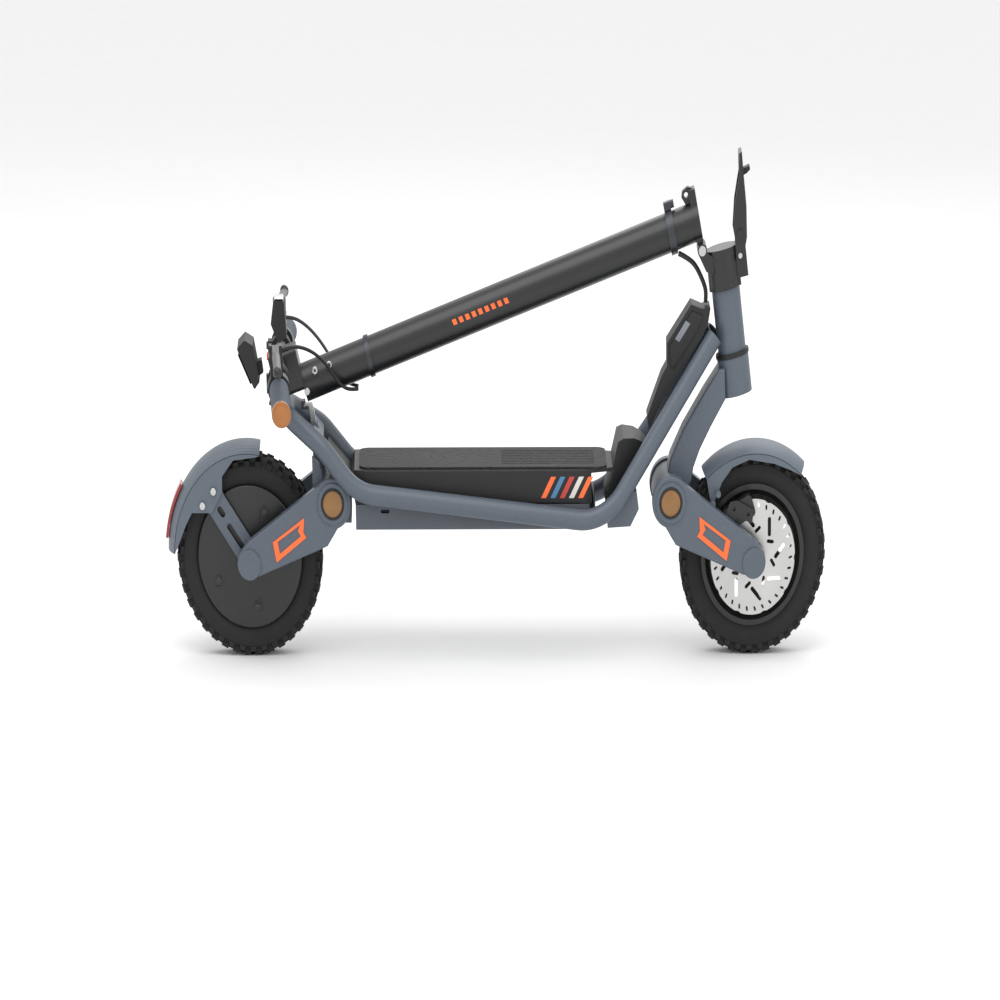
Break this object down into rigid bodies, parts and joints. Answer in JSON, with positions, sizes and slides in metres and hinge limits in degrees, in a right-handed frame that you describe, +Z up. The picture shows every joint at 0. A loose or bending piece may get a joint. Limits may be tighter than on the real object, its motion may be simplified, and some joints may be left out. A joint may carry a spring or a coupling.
{
  "type": "folding electric kick scooter",
  "caption": "Electric kick scooter stored folded, stem hooked down over the deck, with swing arm suspension, hub motor, disc brake, levers, latch and kickstand that move.",
  "frame": {"origin": "on the ground, at the middle of the folded scooter's length and width", "axes": "+X forward, +Y to the rider's left, +Z up"},
  "size_m": [1.223, 0.662, 0.6468],
  "materials": {
    "frame_coat": "satin powder coat",
    "stem_coat": "satin powder coat",
    "black_plastic": "fine texture",
    "grey_plastic": "fine texture",
    "mat_rubber": "matt, grooved",
    "tyre_rubber": "matt, knobbly",
    "grip_rubber": "matt",
    "alloy": "satin",
    "bright_steel": "ground",
    "dark_steel": "oxidised",
    "amber_lens": "gloss",
    "red_lens": "gloss",
    "orange_trim": "satin",
    "cell_wrap": "satin",
    "copper": "enamelled"
  },
  "bodies": {
    "frame": {"frame_side_tubes": "frame_coat", "rear_hoop": "frame_coat", "head_tube": "frame_coat", "rear_kick_plate": "black_plastic", "frame_castings": "frame_coat", "deck_tray": "grey_plastic", "deck_body": "black_plastic", "deck_mat": "mat_rubber", "battery_pack": "cell_wrap", "motor_controller": "alloy", "neck_cover": "black_plastic", "head_bearings": "bright_steel", "main_cable_lower": "black_plastic"},
    "fork": {"steerer_tube": "dark_steel", "fork_neck": "frame_coat", "fold_block": "stem_coat", "fold_joint_pins": "bright_steel", "main_cable_upper": "black_plastic"},
    "latch": {"latch_lever": "stem_coat"},
    "safety_catch": {"latch_safety_catch": "black_plastic"},
    "stem": {"stem_flange": "stem_coat", "stem_tube": "stem_coat", "stem_fittings": "dark_steel", "handlebar_clamp": "stem_coat", "handlebar": "stem_coat", "handlebar_grips": "grip_rubber", "bar_ends": "amber_lens", "brake_perches": "stem_coat", "bar_control_housings": "black_plastic", "display_housing": "black_plastic", "headlight": "black_plastic", "brake_cables": "black_plastic"},
    "brake_lever_r": {"brake_lever_right": "stem_coat"},
    "brake_lever_l": {"brake_lever_left": "stem_coat"},
    "throttle": {"thumb_throttle": "black_plastic"},
    "light_switch": {"light_button": "grey_plastic"},
    "horn_switch": {"horn_button": "orange_trim"},
    "hook": {"fold_hook": "bright_steel"},
    "kickstand": {"kickstand_leg": "dark_steel"},
    "front_suspension": {"front_swing_arms": "frame_coat", "front_arm_trim": "amber_lens", "front_shafts": "dark_steel", "front_rubber_spring": "mat_rubber", "brake_caliper": "stem_coat", "front_fender": "frame_coat"},
    "rear_suspension": {"rear_swing_arms": "frame_coat", "rear_arm_trim": "amber_lens", "rear_shafts": "dark_steel", "rear_rubber_spring": "mat_rubber", "motor_stator": "copper", "rear_fender": "frame_coat", "rear_fender_stays": "frame_coat", "tail_light": "red_lens"},
    "front_wheel": {"front_tyre": "tyre_rubber", "front_rim": "stem_coat", "front_brake_rotor": "bright_steel"},
    "rear_wheel": {"rear_tyre": "tyre_rubber", "motor_shell": "dark_steel", "motor_covers": "stem_coat"}
  },
  "joints": [
    {"name": "steering", "type": "hinge", "parent": "frame", "child": "fork", "pos_m": [0.4195, 0, 0.4375], "axis": [-0.1908, 0, 0.9816], "range_deg": [-45, 45], "deforming": ["main_cable_lower"]},
    {"name": "stem_fold", "type": "hinge", "parent": "fork", "child": "stem", "pos_m": [0.367, 0, 0.527], "axis": [0, 1, 0], "range_deg": [0, 94.9], "deforming": ["main_cable_upper"]},
    {"name": "latch_lever_swing", "type": "hinge", "parent": "fork", "child": "latch", "pos_m": [0.43488, 0, 0.52084], "axis": [0, 1, 0], "range_deg": [0, 110]},
    {"name": "safety_catch_slide", "type": "slide", "parent": "latch", "child": "safety_catch", "axis": [-0.0523, 0, 0.9986], "range_m": [0, 0.003], "stiffness_N_per_m": 300, "springref_m": -0.002},
    {"name": "brake_lever_right_pull", "type": "hinge", "parent": "stem", "child": "brake_lever_r", "pos_m": [-0.39244, -0.18919, 0.43064], "axis": [0.9617, 0, 0.274], "range_deg": [0, 10], "stiffness_Nm_per_rad": 2, "springref_deg": -14.32},
    {"name": "brake_lever_left_pull", "type": "hinge", "parent": "stem", "child": "brake_lever_l", "pos_m": [-0.39244, 0.18919, 0.43064], "axis": [-0.9617, 0, -0.274], "range_deg": [0, 10], "stiffness_Nm_per_rad": 2, "springref_deg": -14.32},
    {"name": "thumb_throttle_press", "type": "hinge", "parent": "stem", "child": "throttle", "pos_m": [-0.39009, 0, 0.38402], "axis": [0, -1, 0], "range_deg": [0, 30], "stiffness_Nm_per_rad": 0.1, "springref_deg": -17.19},
    {"name": "light_button_press", "type": "slide", "parent": "stem", "child": "light_switch", "axis": [1, 0, 0], "range_m": [0, 0.002], "stiffness_N_per_m": 400, "springref_m": -0.002},
    {"name": "horn_button_press", "type": "slide", "parent": "stem", "child": "horn_switch", "axis": [1, 0, 0], "range_m": [0, 0.002], "stiffness_N_per_m": 400, "springref_m": -0.002},
    {"name": "fold_hook_swing", "type": "hinge", "parent": "frame", "child": "hook", "pos_m": [-0.331, 0, 0.304], "axis": [0, 1, 0], "range_deg": [0, 25], "stiffness_Nm_per_rad": 0.05, "springref_deg": -17.19},
    {"name": "kickstand_swing", "type": "hinge", "parent": "frame", "child": "kickstand", "pos_m": [-0.04, 0.062, 0.17], "axis": [0, -0.9371, -0.3489], "range_deg": [0, 95]},
    {"name": "front_arm_swing", "type": "hinge", "parent": "fork", "child": "front_suspension", "pos_m": [0.32, 0, 0.2155], "axis": [0, 1, 0], "range_deg": [-8, 0], "stiffness_Nm_per_rad": 120, "springref_deg": 14.32},
    {"name": "rear_arm_swing", "type": "hinge", "parent": "frame", "child": "rear_suspension", "pos_m": [-0.3, 0, 0.2155], "axis": [0, 1, 0], "range_deg": [0, 8], "stiffness_Nm_per_rad": 120, "springref_deg": -14.32},
    {"name": "front_wheel_spin", "type": "hinge", "parent": "front_suspension", "child": "front_wheel", "pos_m": [0.4765, 0, 0.135], "axis": [0, 1, 0], "continuous": true},
    {"name": "rear_wheel_spin", "type": "hinge", "parent": "rear_suspension", "child": "rear_wheel", "pos_m": [-0.4565, 0, 0.135], "axis": [0, 1, 0], "continuous": true}
  ]
}
